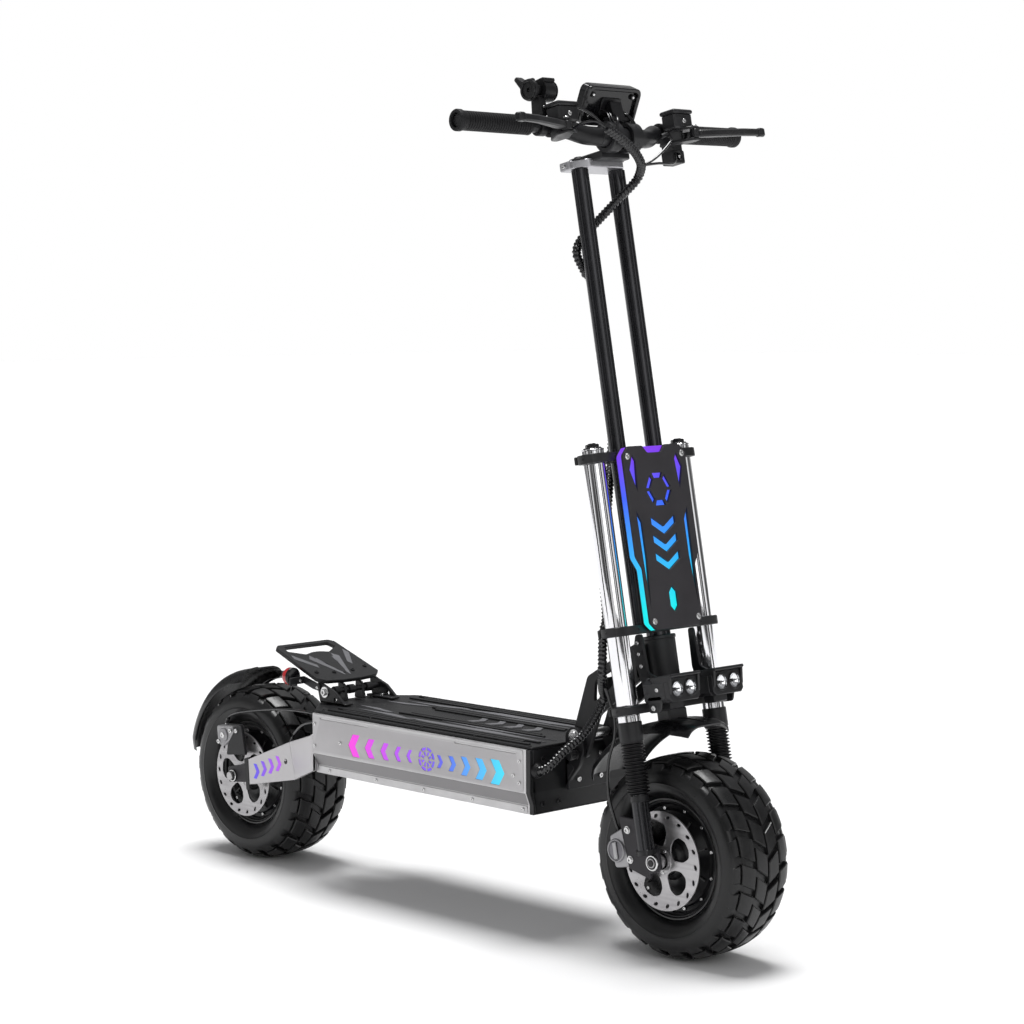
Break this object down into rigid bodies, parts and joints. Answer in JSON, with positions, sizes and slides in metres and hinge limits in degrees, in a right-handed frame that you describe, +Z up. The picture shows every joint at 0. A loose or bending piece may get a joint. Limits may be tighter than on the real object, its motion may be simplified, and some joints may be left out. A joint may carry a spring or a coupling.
{
  "type": "electric kick scooter",
  "caption": "Adult electric kick scooter with fat off-road tyres, a twin-clamp telescopic fork, a folding neck, disc brakes and a raised rear footrest.",
  "frame": {"origin": "on the floor, under the middle of the overall length and width, standing on both wheels with the steering straight", "axes": "+X forwards to the front wheel, +Y to the rider's left, +Z up"},
  "size_m": [1.4437, 0.6524, 1.4141],
  "materials": {
    "silver_metal": "brushed",
    "black_metal": "satin",
    "black_alloy": "satin",
    "grey_alloy": "satin",
    "chrome": "polished",
    "disc_steel": "brushed",
    "black_plastic": "matt",
    "gloss_plastic": "gloss",
    "light_guide": "gloss",
    "grip_rubber": "matt",
    "tyre": "matt",
    "cable": "satin"
  },
  "bodies": {
    "chassis": {"chassis_tray": "black_alloy", "side_plate_right": "silver_metal", "side_plate_left": "silver_metal", "rear_arm_right": "silver_metal", "rear_arm_left": "silver_metal", "deck_board": "grip_rubber", "battery_pack": "black_plastic", "neck_base": "black_metal", "footrest": "black_alloy", "footrest_frame": "black_metal", "tail_light": "gloss_plastic", "rear_fender": "black_plastic", "rear_axle": "disc_steel", "rear_caliper": "grey_alloy", "rear_brake_hose": "cable", "rear_motor_cable": "cable", "loom_lower": "cable"},
    "rear_wheel": {"rear_tyre": "tyre", "rear_hub_motor": "black_alloy", "rear_brake_disc": "disc_steel"},
    "kickstand": {"kickstand_leg": "black_metal"},
    "neck_clamp": {"fold_latch": "disc_steel"},
    "head": {"head_bracket": "black_metal"},
    "steering": {"fork_crown": "black_alloy", "lower_clamp": "black_alloy", "upper_clamp": "black_alloy", "fork_tube_right": "chrome", "fork_tube_left": "chrome", "stem_tube_right": "black_alloy", "stem_tube_left": "black_alloy", "top_bridge": "silver_metal", "handlebar": "black_alloy", "grip_right": "grip_rubber", "grip_left": "grip_rubber", "brake_perch_right": "black_alloy", "brake_perch_left": "black_alloy", "throttle_housing": "black_plastic", "display": "gloss_plastic", "switch_box": "black_plastic", "front_panel": "grey_alloy", "panel_light": "light_guide", "light_pod_right": "black_alloy", "light_pod_left": "black_alloy", "front_fender": "black_plastic", "loom_upper": "cable"},
    "lever_right": {"brake_lever_right": "black_alloy"},
    "lever_left": {"brake_lever_left": "black_alloy"},
    "trigger": {"throttle_trigger": "black_plastic"},
    "horn": {"horn_button": "black_plastic"},
    "fork_lower": {"fork_slider_right": "grey_alloy", "fork_slider_left": "grey_alloy", "bellows_right": "grip_rubber", "bellows_left": "grip_rubber", "front_axle": "disc_steel", "front_caliper": "grey_alloy", "front_brake_hose": "cable"},
    "front_wheel": {"front_tyre": "tyre", "front_hub_motor": "black_alloy", "front_brake_disc": "disc_steel"}
  },
  "joints": [
    {"name": "rear_wheel_spin", "type": "hinge", "parent": "chassis", "child": "rear_wheel", "pos_m": [-0.5292, 0, 0.165], "axis": [0, 1, 0], "continuous": true},
    {"name": "kickstand_swing", "type": "hinge", "parent": "chassis", "child": "kickstand", "pos_m": [-0.0092, 0.105, 0.199], "axis": [0, -1, 0], "range_deg": [0, 92]},
    {"name": "neck_clamp_turn", "type": "hinge", "parent": "chassis", "child": "neck_clamp", "pos_m": [0.3448, -0.05, 0.308], "axis": [0, -1, 0], "range_deg": [0, 180]},
    {"name": "neck_fold", "type": "hinge", "parent": "chassis", "child": "head", "pos_m": [0.3388, 0, 0.338], "axis": [0, -1, 0], "range_deg": [0, 74], "deforming": ["loom_lower", "loom_upper"]},
    {"name": "steer", "type": "hinge", "parent": "head", "child": "steering", "pos_m": [0.5509, 0, 0.1639], "axis": [-0.184, 0, 0.9829], "range_deg": [-35, 35], "deforming": ["loom_upper"]},
    {"name": "fork_travel", "type": "slide", "parent": "steering", "child": "fork_lower", "axis": [-0.184, 0, 0.9829], "range_m": [0, 0.032], "stiffness_N_per_m": 15000, "springref_m": -0.03, "deforming": ["bellows_right", "bellows_left", "front_brake_hose"]},
    {"name": "front_wheel_spin", "type": "hinge", "parent": "fork_lower", "child": "front_wheel", "pos_m": [0.5568, 0, 0.165], "axis": [0, 1, 0], "continuous": true},
    {"name": "brake_right", "type": "hinge", "parent": "steering", "child": "lever_right", "pos_m": [0.42771, -0.15, 1.33319], "axis": [0.184, 0, -0.9829], "range_deg": [0, 20], "stiffness_Nm_per_rad": 2, "springref_deg": -17.19},
    {"name": "brake_left", "type": "hinge", "parent": "steering", "child": "lever_left", "pos_m": [0.42771, 0.15, 1.33319], "axis": [-0.184, 0, 0.9829], "range_deg": [0, 20], "stiffness_Nm_per_rad": 2, "springref_deg": -17.19},
    {"name": "throttle_push", "type": "hinge", "parent": "steering", "child": "trigger", "pos_m": [0.3639, -0.158, 1.39145], "axis": [0, 1, 0], "range_deg": [0, 30], "stiffness_Nm_per_rad": 0.25, "springref_deg": -17.19},
    {"name": "horn_press", "type": "slide", "parent": "steering", "child": "horn", "axis": [0.9829, 0, 0.184], "range_m": [0, 0.002], "stiffness_N_per_m": 800, "springref_m": -0.002}
  ]
}
